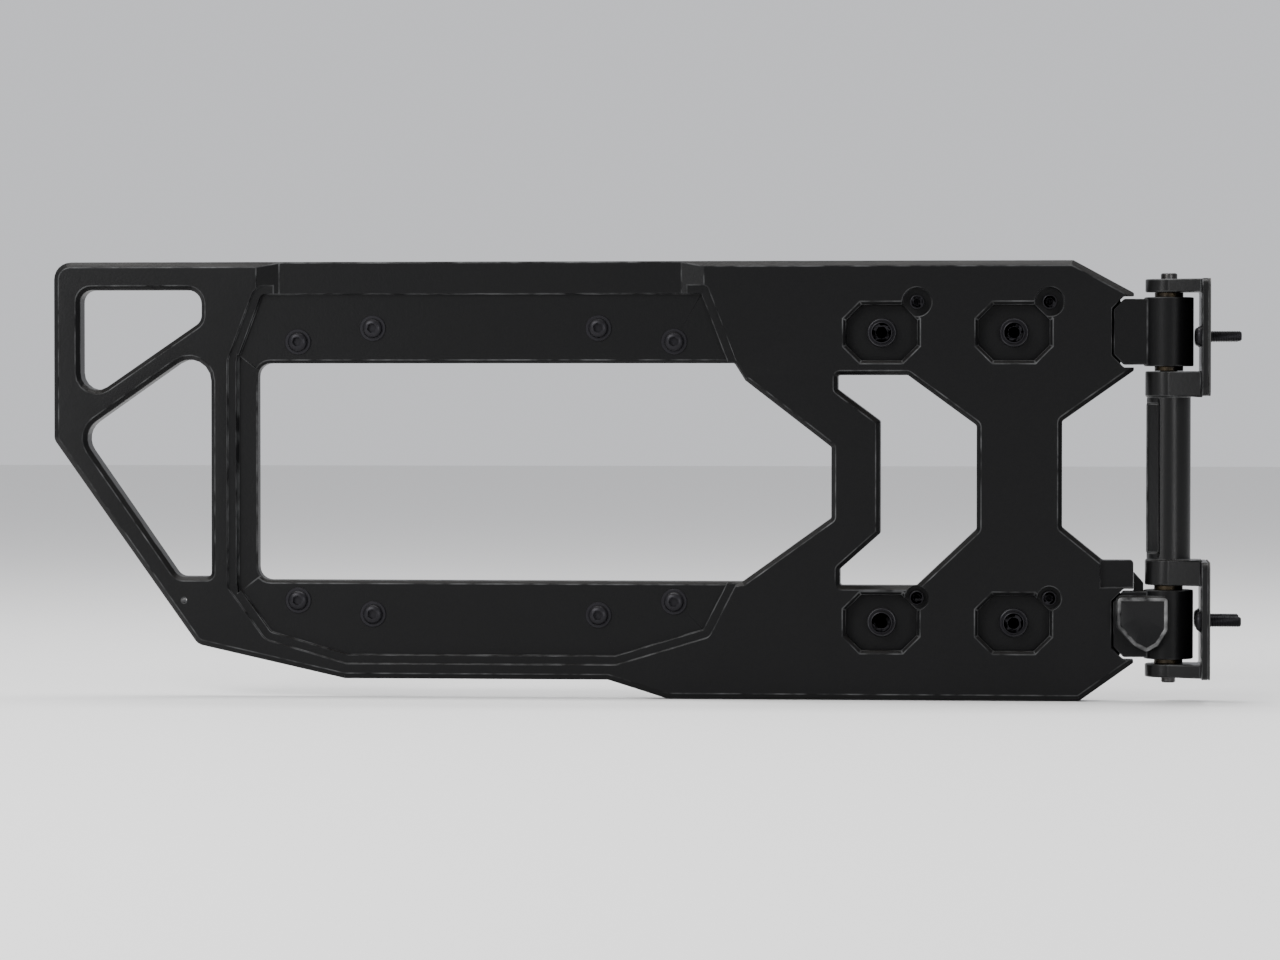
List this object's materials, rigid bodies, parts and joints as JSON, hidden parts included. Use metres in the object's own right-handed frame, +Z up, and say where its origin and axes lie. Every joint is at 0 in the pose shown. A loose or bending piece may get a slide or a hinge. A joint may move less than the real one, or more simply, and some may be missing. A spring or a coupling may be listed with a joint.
{
  "type": "spare tire carrier",
  "caption": "Hinged spare tire carrier: cast tailgate frame with a recessed bolt pad around a window, on two hinge leaves pinned to a body bracket.",
  "frame": {"origin": "centre of the four body studs, on the seat of the flange gaskets", "axes": "+X from the tailgate towards the vehicle body, along the body studs; -Y the outer face of the open tailgate; +Z up, along the hinge axis"},
  "size_m": [1.096, 0.096, 0.403],
  "materials": {
    "frame_coat": "fine textured satin black powder coat on cast aluminium",
    "leaf_coat": "satin black powder coat on forged steel",
    "bracket_coat": "semi-gloss black powder coat on cast steel",
    "black_bolts": "black zinc plated steel",
    "pin_steel": "black oxide steel, ground",
    "bronze": "oiled sintered bronze",
    "cap_gloss": "gloss black moulded plastic",
    "rubber": "black EPDM rubber"
  },
  "bodies": {
    "body_side": {"body_bracket": "bracket_coat", "upper_flange_gasket": "rubber", "lower_flange_gasket": "rubber", "body_flange_bolts": "black_bolts", "upper_hinge_pin": "pin_steel", "lower_hinge_pin": "pin_steel", "pin_set_screws": "black_bolts"},
    "gate_side": {"carrier_frame": "frame_coat", "upper_hinge_leaf": "leaf_coat", "lower_hinge_leaf": "leaf_coat", "upper_bush_top": "bronze", "upper_bush_bottom": "bronze", "lower_bush_top": "bronze", "lower_bush_bottom": "bronze", "upper_leaf_bolts": "black_bolts", "lower_leaf_bolts": "black_bolts", "upper_leaf_washers": "black_bolts", "lower_leaf_washers": "black_bolts", "upper_plate_screws": "black_bolts", "lower_plate_screws": "black_bolts", "outer_mount_bolts": "black_bolts", "inner_mount_bolts": "black_bolts", "hinge_arm_cap": "cap_gloss", "left_pad": "rubber", "upper_pad": "rubber", "lower_pad": "rubber", "right_pad": "rubber"}
  },
  "joints": [
    {"name": "gate_hinge", "type": "hinge", "parent": "body_side", "child": "gate_side", "pos_m": [-0.036, 0.017, 0], "axis": [0, 0, 1], "range_deg": [-90, 0]}
  ]
}
